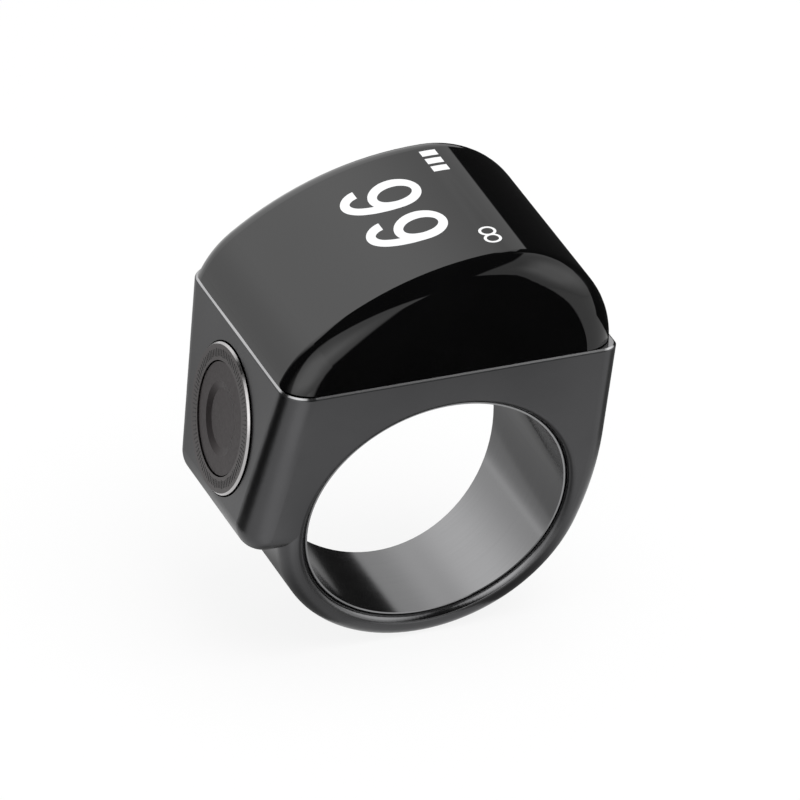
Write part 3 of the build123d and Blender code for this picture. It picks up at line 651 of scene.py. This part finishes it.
GROUND_BLACK = (
    (1.0, ("front_lean", 148.5, 150.5), ("reach", 0.030, 0.036)),  # front, right part
    (1.0, ("turn", -161, -167), ("reach", 0.030, 0.036)),  # front, left part
    (1.0, ("turn", 20, 24), ("turn", 80, 62), ("y", 0.001, 0.004)),  # right of the backdrop
    (
        0.85,  # right, close to the ring
        ("turn", 62, 74),
        ("turn", 114, 106),
        ("reach", 0.024, 0.032),
        ("reach", 0.060, 0.050),
    ),
    (1.0, ("turn", 40, 50), ("y", -0.043, -0.037), ("floor_slant", 0.059, 0.062)),  # far right
    (1.0, ("turn", -104, -92), ("turn", -54, -66), ("reach", 0.030, 0.036)),  # back left
    (0.62, *BEHIND, ("reach", 0.16, 0.012)),  # grey behind the ring
    (0.72, *BEHIND, ("reach", 0.045, 0.028)),  # darker close behind it
    (
        0.8,  # behind the ring at the right
        ("turn", 8, 18),
        ("turn", 33, 29),
        ("reach", 0.4, 0.2),
        ("y", 0.004, 0.008),
    ),
    (0.2, ("turn", 62, 80), ("turn", 152, 149), ("reach", 0.030, 0.060)),  # dim at the right
    (0.75, ("reach", 0.020, 0.012)),  # painted contact shadow under the ring, seen only in reflections
)
GROUND_LIT = ((0.45, ("turn", -162, -150), ("turn", -118, -136)),)  # left


def studio():
    """White surround, with a lower even light on the object."""
    world = bpy.data.worlds.new("studio")
    bpy.context.scene.world = world
    world.use_nodes = True
    s = Stage(world)
    background = s.tree.nodes["Background"]
    background.inputs["Color"].default_value = (1.0, 1.0, 1.0, 1.0)
    s.link(s.spread(s.seen(), AMBIENT, 1.0, 0.0, 1.0), background.inputs["Strength"])


def floor():
    """Pale floor that stays white to the eye and keeps a faint shadow."""
    mesh = bpy.data.meshes.new("floor")
    level = cad_box[0].z
    sides = ((-1, -1), (1, -1), (1, 1), (-1, 1))
    corners = [(x * FLOOR_REACH, y * FLOOR_REACH, level) for x, y in sides]
    mesh.from_pydata(corners, [], [(0, 1, 2, 3)])
    plane = add_object("floor", mesh)
    material = bpy.data.materials.new("floor")
    material.use_nodes = True
    s = Stage(material)
    surface = s.tree.nodes["Principled BSDF"]
    surface.inputs["Base Color"].default_value = (0.9, 0.9, 0.9, 1.0)
    surface.inputs["Roughness"].default_value = 0.9
    surface.inputs["Specular IOR Level"].default_value = 0.0
    glow = s.add("ShaderNodeEmission")
    mixed = s.add("ShaderNodeMixShader")
    s.link(s.math("MULTIPLY", s.seen(), FLOOR_GLOW), mixed.inputs["Fac"])
    s.link(surface.outputs["BSDF"], mixed.inputs[1])
    s.link(glow.outputs["Emission"], mixed.inputs[2])
    s.link(mixed.outputs["Shader"], s.tree.nodes["Material Output"].inputs["Surface"])
    mesh.materials.append(material)


def black_card(name, mesh, black, lit):
    """Black card with soft edges and soft lit panels, which only reflections see."""
    material = bpy.data.materials.new(name)
    material.use_nodes = True
    s = Stage(material)
    s.tree.nodes.remove(s.tree.nodes["Principled BSDF"])
    measures = s.measures()
    dark = s.add("ShaderNodeEmission")
    dark.inputs["Strength"].default_value = CARD_BLACK
    clear = s.add("ShaderNodeBsdfTransparent")
    mixed = s.add("ShaderNodeMixShader")
    s.link(s.panels(measures, black), mixed.inputs["Fac"])
    s.link(clear.outputs["BSDF"], mixed.inputs[1])
    s.link(dark.outputs["Emission"], mixed.inputs[2])
    glow = s.add("ShaderNodeEmission")
    s.link(s.panels(measures, lit), glow.inputs["Strength"])
    joined = s.add("ShaderNodeAddShader")
    s.link(mixed.outputs["Shader"], joined.inputs[0])
    s.link(glow.outputs["Emission"], joined.inputs[1])
    s.link(joined.outputs["Shader"], s.tree.nodes["Material Output"].inputs["Surface"])
    mesh.materials.append(material)
    card = add_object(name, mesh)
    card.visible_camera = card.visible_diffuse = card.visible_shadow = False


def tent():
    """Half round tent of black card, open where the white surround should show."""
    shape = bmesh.new()
    bmesh.ops.create_uvsphere(shape, u_segments=96, v_segments=48, radius=TENT_RADIUS)
    low = [vert for vert in shape.verts if vert.co.z < TENT_BOTTOM]
    bmesh.ops.delete(shape, geom=low, context="VERTS")
    black_card("black_tent", mesh_from("black_tent", shape), TENT_BLACK, TENT_LIT)


def ground_card():
    """Black card on the floor round the ring."""
    shape = bmesh.new()
    turns = [2 * pi * i / GROUND_CARD_STEPS for i in range(GROUND_CARD_STEPS)]
    level = cad_box[0].z + GROUND_CARD_LIFT
    inner, outer = (
        [shape.verts.new((radius * cos(a), radius * sin(a), level)) for a in turns]
        for radius in GROUND_CARD_RADII
    )
    for i in range(GROUND_CARD_STEPS):
        shape.faces.new((inner[i - 1], outer[i - 1], outer[i], inner[i]))
    mesh = mesh_from("black_ground_card", shape)
    black_card("black_ground_card", mesh, GROUND_BLACK, GROUND_LIT)


def lamp(name, place, size, power):
    """Soft lamp aimed at the ring."""
    data = bpy.data.lights.new(name, "AREA")
    data.shape = "RECTANGLE"
    data.size, data.size_y = size
    data.energy = power
    holder = add_object(name, data)
    holder.location = place
    holder.rotation_euler = (-Vector(place)).to_track_quat("-Z", "Y").to_euler()
    holder.visible_glossy = False


def camera():
    """Camera at the photograph's angle."""
    data = bpy.data.cameras.new("camera")
    data.sensor_width = 36.0
    data.lens = 560.481
    data.clip_start = 0.01
    data.clip_end = 20.0
    right = Vector((0.93508859, -0.35397273, 0.01768141))
    up = Vector((0.16046586, 0.46732974, 0.86939842))
    back = Vector((-0.31600638, -0.81012728, 0.49379525))
    place = Vector((-0.28975955, -0.74229657, 0.45784913))
    holder = add_object("camera", data)
    rows = [(right[i], up[i], back[i], place[i]) for i in range(3)]
    holder.matrix_world = Matrix(rows + [(0, 0, 0, 1)])
    bpy.context.scene.camera = holder


lens_mark("count_tens", digit_nine((-3.05, 0.21)))
lens_mark("count_units", digit_nine((2.06, 0.33)))
for number, across in enumerate((-7.44, -6.24, -5.04)):
    lens_mark(f"charge_bar_{number + 1}", bar((across, 4.55), 0.8, 1.25))
lens_mark("loop_sign", loop_sign((5.62, 4.36), ring=0.66, wall=0.21, spacing=1.14))
bezel_ticks()
snap_dome()
crown_gloss()
studio()
floor()
tent()
ground_card()
lamp("soft_top", place=(0.1, -0.2, 0.7), size=(0.6, 0.6), power=4.5)
camera()
bpy.context.scene.view_settings.view_transform = "Standard"
